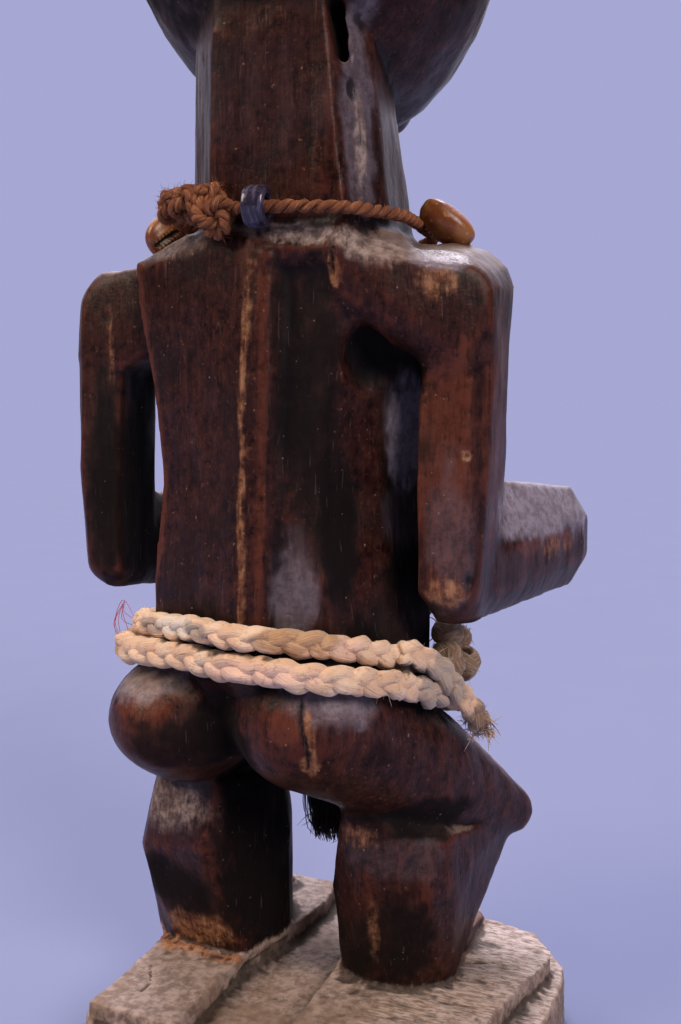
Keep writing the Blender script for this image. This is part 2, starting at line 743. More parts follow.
# The plinth is grey with dust, up to a little above its tops, and the end grain of its right side is crushed.
base_dust = 1 - shade(P[:, 2], 25.6, 27.2)
keep_map(wood, "dry", np.maximum(patches(P, GREY, 23), base_dust))
keep_map(wood, "film", patches(P, FILM, 35))
keep_map(wood, "crushed", base_dust * shade(N[:, 2], 0.5, 0.9) * (1 - shade(P[:, 0], -40, -5)))
keep_map(wood, "red", np.maximum(patches(P, RED, 25), streaks(P, STREAKS["red"], 33)))
keep_map(wood, "slate", patches(P, SLATE, 29))
keep_map(wood, "black", patches(P, BLACK, 27))
print("patches:", sum(len(table) for table in (PALE, GREY, FILM, RED, SLATE, BLACK)))
print("streaks:", sum(len(table) for table in STREAKS.values()))

# %% [markdown]
# The wood is a dense dark hardwood, blackened with oil, red camwood powder and handling, and burnished
# rather than varnished. To the eye that is a near-black brown that turns mahogany red where it is rubbed,
# with the grain as faint upright lines, and a broad satin shine. Oiled wood has an IOR of about 1.5 and a
# roughness near 0.4. The real pores are a tenth of a millimetre wide, so the grain here is drawn several
# times as coarse.


# %% Dark handled hardwood
MEASURED = ("worn_edge", "crevice", "soot", "upward")
PLACED = ("pale", "dry", "red", "slate", "film", "crushed", "black")


def dark_hardwood():
    material, tree = new_finish("dark_handled_hardwood")
    where = add(tree, "TexCoord", {}).outputs["Object"]
    upright = add(tree, "Mapping", {"Vector": where, "Scale": (1, 1, 0.12)})
    grain = add(tree, "TexNoise", {"Vector": upright, "Scale": 1 / (1.0 * MM), "Detail": 4, "Roughness": 0.7})
    streak = add(tree, "TexNoise", {"Vector": upright, "Scale": 1 / (4 * MM), "Detail": 3})
    cloud = add(tree, "TexNoise", {"Vector": where, "Scale": 1 / (22 * MM), "Detail": 5, "Roughness": 0.6})
    mottle = add(tree, "TexNoise", {"Vector": where, "Scale": 1 / (3.0 * MM), "Detail": 4, "Roughness": 0.65})
    speck = add(tree, "TexNoise", {"Vector": where, "Scale": 1 / (1.3 * MM), "Detail": 1})
    leaned = add(tree, "Mapping", {"Vector": where, "Rotation": (0.4, 0.3, 0.2), "Scale": (1, 1, 0.09)})
    flat = add(tree, "Mapping", {"Vector": where, "Scale": (0.22, 1, 1)})
    scratch = add(tree, "TexNoise", {"Vector": leaned, "Scale": 1 / (0.9 * MM), "Detail": 1})
    map_of = {}
    for name in MEASURED + PLACED:
        map_of[name] = add(tree, "Attribute", {}, attribute_name=name).outputs["Fac"]
    # Wear and dust never lie evenly, so their maps are broken up by the grain and the mottling.
    fibrous = add(tree, "Math", {0: grain, 1: mottle}, operation="ADD")
    for name in ("pale", "dry", "upward", "red", "worn_edge"):
        uneven = add(tree, "Math", {0: fibrous, 1: 1.8, 2: -0.8}, operation="MULTIPLY_ADD")
        map_of[name] = add(tree, "Math", {0: map_of[name], 1: uneven}, operation="MULTIPLY")

    tan = coated(
        tree,
        linear("#7d4f36"),
        [(mottle, 0.4, 0.65, 0.8, "#a87a58"), (grain, 0.55, 0.75, 0.5, "#c8a484")],
    )
    fleck = add(tree, "TexNoise", {"Vector": flat, "Scale": 1 / (1.1 * MM), "Detail": 3, "Roughness": 0.7})
    dust = coated(
        tree,
        linear("#74635b"),
        [
            (mottle, 0.35, 0.65, 1.0, "#a59289"),
            (cloud, 0.45, 0.65, 0.6, "#7d6654"),
            (fleck, 0.42, 0.30, 0.35, "#46362e"),
        ],
    )
    film_tone = coated(
        tree,
        linear("#857b84"),
        [(mottle, 0.4, 0.6, 0.8, "#a299a6"), (fleck, 0.45, 0.32, 0.5, "#54454a")],
    )
    # Only the crushed end grain of the plinth's right side has whitish flecks.
    white_flecks = add(tree, "Math", {0: fleck, 1: map_of["crushed"]}, operation="MULTIPLY")
    cool = coated(
        tree,
        linear("#33292d"),
        [(streak, 0.4, 0.65, 0.8, "#514549"), (grain, 0.5, 0.7, 0.4, "#62555a")],
    )
    body = coated(
        tree,
        linear("#2e1511"),
        [
            # The blackened ground, its red-brown streaks, and the clouds of thicker oil.
            (grain, 0.45, 0.65, 0.6, "#3a1d17"),
            (streak, 0.50, 0.72, 0.4, "#47261c"),
            (mottle, 0.50, 0.70, 0.6, "#472a21"),
            (mottle, 0.49, 0.34, 0.8, "#100605"),
            (grain, 0.46, 0.30, 0.6, "#120706"),
            (cloud, 0.50, 0.66, 0.7, "#1a0b0a"),
            (speck, 0.62, 0.76, 0.4, "#623c2e"),
            # Dust on what faces up, red rubbed edges, soot and old oil, burnished facets, and greasy film.
            (map_of["upward"], 0.05, 0.9, 0.85, "#7c685e"),
            (map_of["worn_edge"], 0.1, 1.0, 0.5, "#5c2e20"),
            (map_of["red"], 0.05, 1.0, 0.65, "#643526"),
            (map_of["soot"], 0.0, 1.0, 0.93, "#050202"),
            (map_of["black"], 0.0, 1.0, 0.92, "#090405"),
            (map_of["slate"], 0.0, 1.0, 0.85, cool),
            (map_of["film"], 0.05, 1.0, 0.75, film_tone),
            # Dry grey wood, wood rubbed bare, dirt in the fine cuts, scratches, and specks of old plaster.
            (map_of["dry"], 0.05, 0.85, 0.9, dust),
            (white_flecks, 0.42, 0.62, 0.55, "#c9bab2"),
            (map_of["pale"], 0.05, 0.85, 0.85, tan),
            (map_of["crevice"], 0.0, 1.0, 0.75, "#080404"),
            (scratch, 0.70, 0.76, 0.14, "#7d6a62"),
            (speck, 0.77, 0.80, 0.45, "#a08d78"),
        ],
    )
    # The film shines, and dust, soot and old oil are dull.
    sooty = add(tree, "Math", {0: map_of["black"], 1: map_of["soot"]}, operation="MAXIMUM")
    dull = add(tree, "Math", {0: map_of["dry"], 1: sooty}, operation="MAXIMUM")
    patchy = add(tree, "Math", {0: cloud, 1: 0.35, 2: 0.19}, operation="MULTIPLY_ADD")
    satin = add(tree, "Math", {0: map_of["film"], 1: -0.22, 2: patchy}, operation="MULTIPLY_ADD")
    rough = add(tree, "Math", {0: dull, 1: 0.5, 2: satin}, operation="MULTIPLY_ADD", use_clamp=True)
    fine = add(tree, "Bump", {"Height": grain, "Strength": 0.5, "Distance": 0.3 * MM})
    pits = add(tree, "Bump", {"Height": mottle, "Strength": 0.5, "Distance": 0.4 * MM, "Normal": fine})
    surface = {"Base Color": body, "Roughness": rough, "Normal": pits, "IOR": 1.5, "Specular IOR Level": 0.17}
    shader = add(tree, "BsdfPrincipled", surface)
    add(tree, "OutputMaterial", {"Surface": shader})
    return material


put_on(dark_hardwood(), wood)

# %% [markdown]
# The rope, the cord and the tuft are all made of strands. A strand is a tube that follows a path, so one
# function lays rings of points along any path, and another gathers many such tubes into one mesh. Each point
# also keeps its place in the strand laid out straight, so that the finish can draw fibres along it.


# %% Helpers for strands
# A strand's seed moves its folds and its finish along by so many millimetres, so that no two look alike.
FOLDS_APART = 50.0
FIBRES_APART = 400.0


def strand(path, out, half_wide, half_thick, sides, closed=False, crease=0.0, seed=0):
    """The skin of one strand. out is the way its flat side faces, for the whole path or for each point."""
    along = (np.roll(path, -1, 0) - np.roll(path, 1, 0)) if closed else np.gradient(path, axis=0)
    along = unit(along)
    side = unit(np.cross(along, np.broadcast_to(out, path.shape)))
    face = np.cross(side, along)
    turn = 2 * np.pi * np.arange(sides) / sides
    wide = np.broadcast_to(half_wide, len(path))[:, None] * np.cos(turn)
    thick = np.broadcast_to(half_thick, len(path))[:, None] * np.sin(turn)
    steps = np.linalg.norm(np.diff(path, axis=0), axis=1)
    length = np.concatenate([[0.0], np.cumsum(steps)])
    straight = np.stack([wide, thick, np.broadcast_to(length[:, None], wide.shape)], -1)
    if crease:
        laid = straight.reshape(-1, 3) + FOLDS_APART * seed
        folds = lattice(laid, (1.5, 1.5, 7), seed) + 0.6 * lattice(laid, (0.7, 0.7, 3), seed + 1)
        folds = 1 + crease * folds.reshape(wide.shape)
        wide, thick = wide * folds, thick * folds
    skin = path[:, None] + side[:, None] * wide[..., None] + face[:, None] * thick[..., None]
    return {"skin": skin, "straight": straight + (0, 0, FIBRES_APART * seed), "closed": closed}


def gathered(name, strands, slot, *nodes):
    """One piece made of many strands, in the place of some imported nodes."""
    faces, first = [], 0
    for one in strands:
        rings, sides = one["skin"].shape[:2]
        ring = np.arange(rings if one["closed"] else rings - 1)[:, None]
        here, there = first + ring * sides, first + (ring + 1) % rings * sides
        k = np.arange(sides)
        quads = np.stack([here + k, there + k, there + (k + 1) % sides, here + (k + 1) % sides], -1)
        faces += quads.reshape(-1, 4).tolist()
        if not one["closed"]:
            faces += [list(range(first, first + sides))]
            faces += [list(range(first + rings * sides - 1, first + (rings - 1) * sides - 1, -1))]
        first += rings * sides
    points = np.concatenate([one["skin"].reshape(-1, 3) for one in strands])
    straight = np.concatenate([one["straight"].reshape(-1, 3) for one in strands])
    mesh = bpy.data.meshes.new(name)
    mesh.from_pydata((points * MM).tolist(), [], faces)
    mesh.polygons.foreach_set("use_smooth", [True] * len(faces))
    layer = mesh.attributes.new("straight", "FLOAT_VECTOR", "POINT")
    layer.data.foreach_set("vector", (straight * MM).astype(np.float32).ravel())
    print(name, "faces:", len(faces))
    return new_piece(name, mesh, slot, *nodes)


def whiskers(strands, count, longest, thick, seed, droop=0.3):
    """Loose fibres that stand out of the strands' skins, each a thin tapered curve."""
    draw = np.random.default_rng(seed)
    made = []
    for _ in range(count):
        one = strands[draw.integers(len(strands))]
        rings, sides = one["skin"].shape[:2]
        r, k = draw.integers(1, rings - 1), draw.integers(sides)
        root = one["skin"][r, k]
        away = root - one["skin"][r].mean(0)
        along = one["skin"][min(r + 1, rings - 1), k] - one["skin"][r - 1, k]
        leaning = unit(away) * draw.uniform(0.4, 1) + unit(along) * draw.normal(0, 0.9)
        way = unit(leaning + draw.normal(0, 0.3, 3))
        length = longest * draw.uniform(0.25, 1) ** 1.5
        bend = draw.normal(0, 0.35, 3) - (0, 0, droop)
        # Each begins a little inside its strand.
        t = np.linspace(-0.1, 1, 6)[:, None]
        path = root + length * (t * way + t * t * bend)
        width = thick * np.linspace(1, 0.25, 6)
        made.append(strand(path, (0.3, 0.2, 0.93), width, width, 3, seed=int(draw.integers(900))))
    return made


# %% [markdown]
# The belt and the cord were tied round the wood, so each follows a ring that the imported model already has.
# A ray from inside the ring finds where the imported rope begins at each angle, and half its thickness
# further out is the middle of the rope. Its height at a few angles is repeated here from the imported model.


# %% Rings round the body
def around(table, degrees):
    """A value that changes smoothly round the figure, from a table of degrees and values.

    0 degrees is the figure's left, 90 its back, 180 its right and 270 its front.
    """
    before = [(d - 360, v) for d, v in table[-2:]]
    after = [(d + 360, v) for d, v in table[:2]]
    at, value = np.array(before + table + after, float).T
    slope = np.gradient(value, at)
    slope[1:-1] = (value[2:] - value[:-2]) / (at[2:] - at[:-2])
    i = np.clip(np.searchsorted(at, degrees, side="right") - 1, 1, len(at) - 3)
    h = at[i + 1] - at[i]
    t = (degrees - at[i]) / h
    ends = value[i] * (1 + 2 * t) * (1 - t) ** 2 + value[i + 1] * t * t * (3 - 2 * t)
    return ends + slope[i] * h * t * (1 - t) ** 2 + slope[i + 1] * h * t * t * (t - 1)


def soften_ring(rows, width):
    """A closed row of values, each averaged with those within a few steps of it."""
    reach = np.arange(-3 * width, 3 * width + 1)
    weight = np.exp(-0.5 * (reach / width) ** 2)
    return sum(w * np.roll(rows, k, 0) for k, w in zip(reach, weight / weight.sum()))


def middle_ring(node, centre, heights, half_thick, spacing):
    """The middle line of a packed ring, at even spacing, and the way out from the body at each point."""
    tree = solid_tree(node)
    degrees = np.arange(0, 360, 1.0)
    height = around(heights, degrees)
    ways = np.stack([np.cos(np.radians(degrees)), np.sin(np.radians(degrees)), 0 * degrees], 1)
    far = [tree.ray_cast(Vector((*centre, z)), Vector(w))[3] for z, w in zip(height, ways)]
    far = soften_ring(np.array(far) + half_thick, 4)
    ring = np.stack([centre[0] + far * ways[:, 0], centre[1] + far * ways[:, 1], height], 1)
    looped = np.vstack([ring, ring[:1]])
    length = np.concatenate([[0], np.cumsum(np.linalg.norm(np.diff(looped, axis=0), axis=1))])
    even = np.linspace(0, length[-1], round(length[-1] / spacing), endpoint=False)
    ring = np.stack([np.interp(even, length, looped[:, i]) for i in range(3)], 1)
    along = unit(np.roll(ring, -1, 0) - np.roll(ring, 1, 0))
    return ring, unit(np.cross(along, (0, 0, 1.0))), length[-1]


# %% [markdown]
# The belt is a rope of torn cloth strips, plaited in three and wound twice round the hips. In a plait each
# strand swings from edge to edge and passes over and under the others on the way. That is a sine across the
# rope, and a sine of twice the pace through its thickness, with a third of a swing between one strand and
# the next. The hand that plaits is uneven, so the pace, the reach and the width of the strips wander a
# little.

# %% The plaited belt
BELT_CENTRE = (5, 4)
UPPER_TURN = [
    (0, 138.5), (50, 143), (90, 144.2), (130, 141.8), (155, 137.5),
    (180, 130), (205, 122.5), (235, 116), (270, 112), (315, 125),
]
LOWER_TURN = [
    (0, 130.5), (50, 135.3), (90, 135.2), (130, 133.5), (155, 129.5),
    (180, 122), (205, 115), (235, 108), (270, 104), (315, 116),
]
# Half the height of each turn, and half the thickness of both.
UPPER_TALL, LOWER_TALL = 4.0, 4.5
BELT_THICK = 3.3
# A strip swings once across the rope and back in this many half heights.
BELT_SWING = 5.6


def plait(ring, out, length, closed, seed, swing, tall, thick=BELT_THICK):
    """Three strips of cloth plaited along a path. swing is the length of one swing, in millimetres."""
    swings = round(length / swing) if closed else length / swing
    # Each strip is a little wider than half the rope, so the three cover it.
    half_wide, half_thick = 0.57 * tall, 0.64 * thick
    phase = 2 * np.pi * swings * np.arange(len(ring)) / len(ring)
    place = np.stack([phase * 3, 0 * phase, 0 * phase + seed], 1)
    hand = np.sin(np.pi * np.arange(len(ring)) / len(ring)) * lattice(place, 6.0, seed + 9)
    strips = []
    for k in range(3):
        t = phase + 2 * np.pi * k / 3 + 0.45 * hand
        uneven = 1 + 0.15 * lattice(place, 4.0, seed + k)
        across = (tall - half_wide) * np.sin(t) * uneven
        through = 0.28 * thick * np.sin(2 * t)
        up = np.cross(out, unit(np.gradient(ring, axis=0)))
        path = ring + up * across[:, None] + out * through[:, None]
        wide = half_wide * (1 + 0.16 * lattice(place, 2.4, seed + 5 + k))
        folded = half_thick * (1 + 0.22 * np.abs(np.sin(t)))
        strips.append(strand(path, out, wide, folded, 16, closed, crease=0.2, seed=seed + k))
    return strips


belt = []
for turn, tall, seed in ((UPPER_TURN, UPPER_TALL, 31), (LOWER_TURN, LOWER_TALL, 41)):
    ring, out, length = middle_ring("belt_rope", BELT_CENTRE, turn, BELT_THICK, spacing=0.65)
    belt += plait(ring, out, length, True, seed, BELT_SWING * tall, tall)
    print("one turn of the belt:", round(length), "mm")

# %% [markdown]
# Where the rope is tied, at the figure's right hip, the strips make a bunch of knots, and the last end hangs
# down and frays. A knot in thick cloth reads as a few fat loops pressed together, so each is made of closed
# loops round one centre. The end is one more short plait that opens into loose threads.


# %% The belt's knots and end
def loops(centre, radii, count, half_wide, half_thick, seed):
    """Closed loops of one strip, wound round a centre at different tilts."""
    draw = np.random.default_rng(seed)
    turn = np.linspace(0, 2 * np.pi, 48, endpoint=False)[:, None]
    made = []
    for k in range(count):
        axis = unit(draw.normal(size=3))
        one = unit(np.cross(axis, (0.3, 0.1, 1)))
        two = np.cross(axis, one)
        wobble = 1 + 0.08 * np.sin(3 * turn + k)
        path = (np.cos(turn) * one + np.sin(turn) * two) * wobble * (np.asarray(radii) - half_thick)
        made.append(strand(path + centre, unit(path), half_wide, half_thick, 10, True, 0.15, seed + k))
    return made


def eased(points, count):
    """A smooth path of so many points through a few given ones."""
    points = np.asarray(points, float)
    at = np.linspace(0, len(points) - 1, count)
    k = np.clip(at.astype(int), 0, len(points) - 2)
    t = (at - k)[:, None]
    padded = np.vstack([2 * points[0] - points[1], points, 2 * points[-1] - points[-2]])
    a, b, c, d = padded[k], padded[k + 1], padded[k + 2], padded[k + 3]
    return 0.5 * (2 * b + (c - a) * t + (2 * a - 5 * b + 4 * c - d) * t**2 + (3 * b - a - 3 * c + d) * t**3)


BELT_KNOTS = [
    # centre, radii
    ((-46.5, -9.5, 129.5), (6.2, 6.2, 6.5)),
    ((-45, -13, 138), (5.2, 5.2, 5)),
    ((-48.5, -17, 127.5), (6.2, 6.2, 6.2)),
    ((-46, -21, 134.5), (4.6, 4.6, 4.6)),
]
for n, (centre, radii) in enumerate(BELT_KNOTS):
    belt += loops(centre, radii, count=4, half_wide=2.9, half_thick=1.7, seed=60 + 10 * n)

TAIL = [
    (-41, 20.5, 138.5), (-44.5, 15, 136), (-48.5, 9.5, 132), (-51.5, 5, 126.5),
    (-54.5, 1, 120.5), (-56.8, -4, 115), (-57.8, -7.5, 110.5),
]
TAIL_LENGTH = 46
FRAYED_THREADS = 34
tail = eased(TAIL, 60)
tail_out = np.broadcast_to((-0.85, 0.5, 0.15), tail.shape)
belt += plait(tail, tail_out, TAIL_LENGTH, False, 51, swing=20, tall=4.2, thick=3.0)
fray = np.random.default_rng(77)
thinning = np.linspace(0.34, 0.12, 6)
for n in range(FRAYED_THREADS):
    root = tail[-4] + fray.normal(0, 1.3, 3)
    way = unit(np.array((-0.12, -0.05, -0.9)) + fray.normal(0, 0.22, 3))
    path = root + way * np.linspace(0, fray.uniform(2.5, 5.0), 6)[:, None]
    belt.append(strand(path, (1, 0, 0), thinning, thinning, 4, seed=n))

# A few loose pink threads stand off the rope at the left hip.
PINK_LOOP = [(54, 24.5, 133), (56, 24.5, 140), (53.5, 25, 147), (51, 25.5, 143), (47, 26, 140)]
pink_threads = []
for n in range(4):
    bends = np.array(PINK_LOOP) + fray.normal(0, 1.1, (len(PINK_LOOP), 3))
    pink_threads.append(strand(eased(bends, 20), (1, 0, 0), 0.12, 0.12, 4, seed=n))

shreds = whiskers(belt, count=90, longest=5.5, thick=0.28, seed=91)
fuzz = whiskers(belt, count=1500, longest=2.8, thick=0.11, seed=90)
belt_rope = gathered("plaited_belt", belt + shreds + fuzz + pink_threads, "plaited_cloth", "belt_rope")

# %% [markdown]
# The necklace cord is laid from two plies, which turn round each other like the threads of a screw. Its
# ends meet at the back of the left shoulder in a bunch of knots. A simple overhand knot, pulled into a
# lump, is the curve that mathematicians call a trefoil, so the same curve makes each knot.

# %% The twisted cord and its knots
CORD_CENTRE = (0, -2)
CORD_HEIGHT = [(0, 267), (90, 267.2), (135, 266.4), (180, 266.6), (225, 264), (270, 261), (315, 264)]
CORD_RADIUS = 2.2
LAY = 8.0
KNOT_LAY = 6.5


def plied(path, closed, length, radius, seed, lay=LAY):
    """Two plies that turn round each other along a path, once in each lay."""
    along = (np.roll(path, -1, 0) - np.roll(path, 1, 0)) if closed else np.gradient(path, axis=0)
    side = unit(np.cross(along, (0.25, 0.15, 0.95)))
    face = unit(np.cross(side, along))
    turns = round(length / lay) if closed else length / lay
    angle = 2 * np.pi * turns * np.arange(len(path)) / len(path)
    plies = []
    for start in (0, np.pi):
        away = np.cos(angle + start)[:, None] * side + np.sin(angle + start)[:, None] * face
        ply = path + away * radius * 0.42
        plies.append(strand(ply, away, radius * 0.52, radius * 0.46, 12, closed, 0.26, seed + int(start)))
    return plies


def trefoil(centre, size, tilt, seed, radius):
    """A pulled overhand knot round a centre. size is its three radii, and radius is the cord's."""
    t = np.linspace(0, 2 * np.pi, 150, endpoint=False)
    wide = 2 + np.cos(3 * t)
    curve = np.stack([wide * np.cos(2 * t), wide * np.sin(2 * t), 1.25 * np.sin(3 * t)], 1)
    curve *= (np.asarray(size) - radius) / (3, 3, 1.25)
    turned = curve @ np.array(Vector((0, 0, 1)).rotation_difference(Vector(tilt)).to_matrix()).T
    length = np.linalg.norm(np.diff(turned, axis=0), axis=1).sum()
    return plied(turned + centre, True, length, radius, seed, lay=KNOT_LAY)


CORD_KNOTS = [
    # centre, size, the way the knot's axis points, seed, radius of the cord
    ((10.5, 38.3, 265.3), (7.4, 7.2, 5.4), (-0.4, 0.8, -0.2), 111, 2.3),
    ((19.5, 37.2, 269.5), (7.0, 6.6, 5.2), (0.5, 0.7, 0.5), 113, 2.2),
    ((28.5, 30.8, 270.3), (6.6, 6.0, 5.0), (0.6, 0.5, 0.1), 115, 2.1),
    ((13, 36.5, 270.5), (5.8, 5.4, 4.8), (0.2, 0.3, 1.0), 117, 1.9),
]
ring, out, length = middle_ring("necklace_cord", CORD_CENTRE, CORD_HEIGHT, CORD_RADIUS, spacing=0.6)
print("the cord round the neck:", round(length), "mm")
cord = plied(ring, True, length, CORD_RADIUS, 101)
for knot in CORD_KNOTS:
    cord += trefoil(*knot)
ring_hair = whiskers(cord[:2], count=700, longest=2.2, thick=0.08, seed=120, droop=0.1)
knot_hair = whiskers(cord[2:], count=3200, longest=2.4, thick=0.09, seed=121, droop=0.1)
cord += ring_hair + knot_hair
necklace = gathered("necklace_cord_of_two_plies", cord, "twisted_fibre", "necklace_cord")

# %% [markdown]
# The bead is a short tube of wound glass. It is turned here as a glassmaker turns it: a profile through its
# wall, carried round the axis. The rims are rounded by the fire, and the wall is a little uneven.


# %% The glass bead
def frame_of(node):
    """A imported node's points, its middle, and its three main directions from the longest to the shortest."""
    points = points_of(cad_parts[node].data)
    middle = (points.max(0) + points.min(0)) / 2
    _, _, axes = np.linalg.svd(points - points.mean(0), full_matrices=False)
    return points, middle, axes


def grid_mesh(name, grid, round_u, round_v):
    """A mesh from a grid of points, closed in one or both of its directions."""
    rows, columns = grid.shape[:2]
    r = np.arange(rows if round_u else rows - 1)[:, None]
    c = np.arange(columns if round_v else columns - 1)
    r2, c2 = (r + 1) % rows, (c + 1) % columns
    quads = np.stack([r * columns + c, r * columns + c2, r2 * columns + c2, r2 * columns + c], -1)
    quads = quads.reshape(-1, 4)
    a, b, _, d = grid.reshape(-1, 3)[quads].transpose(1, 0, 2)
    # The volume inside tells whether the faces look out or in.
    if (a * np.cross(b, d)).sum() < 0:
        quads = quads[:, ::-1]
    mesh = bpy.data.meshes.new(name)
    mesh.from_pydata((grid.reshape(-1, 3) * MM).tolist(), [], quads.tolist())
    mesh.polygons.foreach_set("use_smooth", [True] * len(mesh.polygons))
    return mesh


# The power that makes the section of the wall a rounded box. 1 would make it an oval.
BEAD_BOX = 0.45


def glass_bead():
    """The bead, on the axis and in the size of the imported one."""
    points, middle, axes = frame_of("bead")
    axis = axes[np.argmin(np.ptp(points @ axes.T, axis=0))]
    half = np.ptp(points @ axis) / 2
    outer = np.linalg.norm(np.cross(points - middle, axis), axis=1).max()
    hole = np.linalg.norm(np.cross(points - middle, axis), axis=1).min()
    wall = (outer - hole) / 2
    t = np.linspace(0, 2 * np.pi, 40, endpoint=False)
    x = half * np.sign(np.cos(t)) * np.abs(np.cos(t)) ** BEAD_BOX
    r = hole + wall + wall * np.sign(np.sin(t)) * np.abs(np.sin(t)) ** BEAD_BOX
    a = np.linspace(0, 2 * np.pi, 72, endpoint=False)[:, None]
    one = unit(np.cross(axis, (0, 0, 1.0)))
    two = np.cross(axis, one)
    uneven = 1 + 0.012 * np.sin(3 * a + 1) + 0.008 * np.sin(7 * a)
    ring = (np.cos(a)[..., None] * one + np.sin(a)[..., None] * two) * (r * uneven)[..., None]
    mesh = grid_mesh("blue_bead", middle + ring + x[:, None] * axis, True, True)
    print("bead:", round(2 * outer, 1), "mm across,", round(2 * half, 1), "mm long")
    return new_piece("blue_bead", mesh, "bead_glass", "bead")


blue_bead = glass_bead()

# %% [markdown]
# A cowrie is a humped oval shell. Its flatter face has one long slit between two rolled lips with teeth.
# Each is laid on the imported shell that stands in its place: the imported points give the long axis, the hump
# and the narrow end, and the finer form is then drawn in the shell's own axes.


# %% The cowrie shells
# A shell is this many times as thick as its hump alone.
WHOLE_TO_HUMP = 1.45
TOOTH_SPACING = 1.35


def cowrie_axes(node):
    """The middle of a shell, its own three axes, and its half length, half width and rise.

    The axes point to the narrow end, across, and up the hump.
    """
    points, _, (long, wide, up) = frame_of(node)
    low, high = (points @ up).min(), (points @ up).max()
    if high - np.median(points @ up) < np.median(points @ up) - low:
        up, low, high = -up, -high, -low
    x = points @ long - np.mean([(points @ long).min(), (points @ long).max()])
    y = np.abs(points @ wide - np.mean([(points @ wide).min(), (points @ wide).max()]))
    if y[x > 0].mean() > y[x < 0].mean():
        long = -long
    wide = np.cross(up, long)
    spans = [((points @ a).min(), (points @ a).max()) for a in (long, wide)]
    rise = (high - low) / WHOLE_TO_HUMP
    middle = sum(np.mean(s) * a for s, a in zip(spans, (long, wide))) + (high - rise) * up
    return middle, np.stack([long, wide, up]), (np.ptp(spans[0]) / 2, np.ptp(spans[1]) / 2, rise)


def cowrie(node, seed, under=0.8):
    """One shell. under is how deep its underside is, against the rise of its hump."""
    middle, axes, (long, wide, high) = cowrie_axes(node)
    u = np.linspace(0, np.pi, 60)[:, None]
    v = np.linspace(0, 2 * np.pi, 96, endpoint=False)
    # More points near the slit, at three quarters of the way round.
    v = (v + 0.75 * np.sin(v - 1.5 * np.pi) + 2 * np.pi) % (2 * np.pi)
    v = np.sort(v)
    x = np.cos(u) * np.ones_like(v)
    narrow = 1 - 0.14 * x
    fat = np.sin(u) ** 0.8
    y = narrow * fat * np.cos(v)
    z = fat * np.sin(v)
    base = z < 0
    z = np.where(base, -np.abs(z) ** 0.8, z)
    local = np.stack([long * x, wide * y, np.where(base, under * high * z, high * z)], -1)
    from_slit = local[..., 1] - 0.35 * np.sin(0.35 * local[..., 0])
    inside = base * shade(1 - np.abs(x), 0.03, 0.2)
    slit = np.exp(-((from_slit / 0.62) ** 2)) * inside
    lips = np.exp(-(((np.abs(from_slit) - 1.7) / 0.9) ** 2)) * inside
    row = 0.5 + 0.5 * np.cos(2 * np.pi * local[..., 0] / TOOTH_SPACING)
    teeth = row * shade(np.abs(from_slit), 2.9, 0.9) * inside
    local[..., 2] += 2.0 * slit - 0.35 * lips - 0.28 * teeth * (1 - slit)
    local[..., 2] += 0.12 * lattice(local.reshape(-1, 3) + seed, (4, 4, 4), seed).reshape(x.shape)
    mesh = grid_mesh(node + "_shell", middle + local @ axes, False, True)
    keep_map(mesh, "slit", slit.ravel())
    keep_map(mesh, "teeth", (teeth * (1 - slit)).ravel())
    keep_map(mesh, "hump", shade(local[..., 2] / high, 0.2, 0.95).ravel())
    return new_piece(node + "_shell", mesh, "cowrie_shell", node)


names = sorted(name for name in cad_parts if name.startswith("cowrie"))
# The first lies on the slope of the right shoulder, so its underside is left fuller.
shells = [cowrie(name, n, 1.3 if n == 0 else 0.8) for n, name in enumerate(names)]
print("cowries:", len(shells))

# %% [markdown]
# A tuft of dark fibre hangs in front, bound to the belt. It is well over a thousand hairs that start close
# together and spread downwards. They are dealt out to some two dozen locks, and those of one lock fall
# together.


# %% The tuft of fibre
LOCKS = 26


def tuft(count, seed):
    """The hairs of the tuft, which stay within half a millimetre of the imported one's box."""
    low, high = (np.array(corner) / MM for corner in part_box("fur_tuft"))
    draw = np.random.default_rng(seed)
    centre, half = (low + high) / 2, (high - low) / 2
    made = []
    locks = draw.uniform(-1, 1, (LOCKS, 2))
    for n in range(count):
        at = locks[n % LOCKS] * 0.9 + draw.normal(0, 0.10, 2)
        at /= max(1.0, np.hypot(*at) / 0.97)
        spread = np.array((at[0], -at[1], 0.0))
        top = (centre[0], high[1] - 1.2 - 0.55 * half[1], high[2] - 0.5) + spread * half * (0.42, 0.55, 0)
        fall = draw.uniform(0.86, 1.0) if draw.random() < 0.7 else draw.uniform(0.5, 0.86)
        tip = (*centre[:2], high[2] - fall * 2 * half[2]) + spread * half * (0.95, 0.8, 0)
        middle = (top + tip) / 2 + spread * half * (0.35, 0.2, 0) + draw.normal(0, 1.0, 3)
        low_part = (middle + 3 * tip) / 4 + draw.normal(0, 1.3, 3)
        path = np.clip(eased([top, middle, low_part, tip], 10), low - 0.5, high + 0.5)
        width = 0.34 * np.linspace(1, 0.35, 10)
        made.append(strand(path, (0, -1, 0), width, width, 4, seed=n % 97))
    return made


hairs = tuft(count=1500, seed=5)
curls = whiskers(hairs, count=1500, longest=5.0, thick=0.2, seed=95)
hanging = gathered("fibre_tuft", hairs + curls, "dark_fibre", "fur_tuft")

# %% [markdown]
# The belt is cotton cloth torn into strips, so its threads show at the folds and its edges are furry. Cloth
# has no gloss: an IOR near 1.5 with a high roughness, and a little sheen from the loose fibres. The threads
# are a third to half a millimetre apart here, about twice the real spacing, so that they show. Sweat, oil
# and red powder have coloured each stretch of the rope differently.

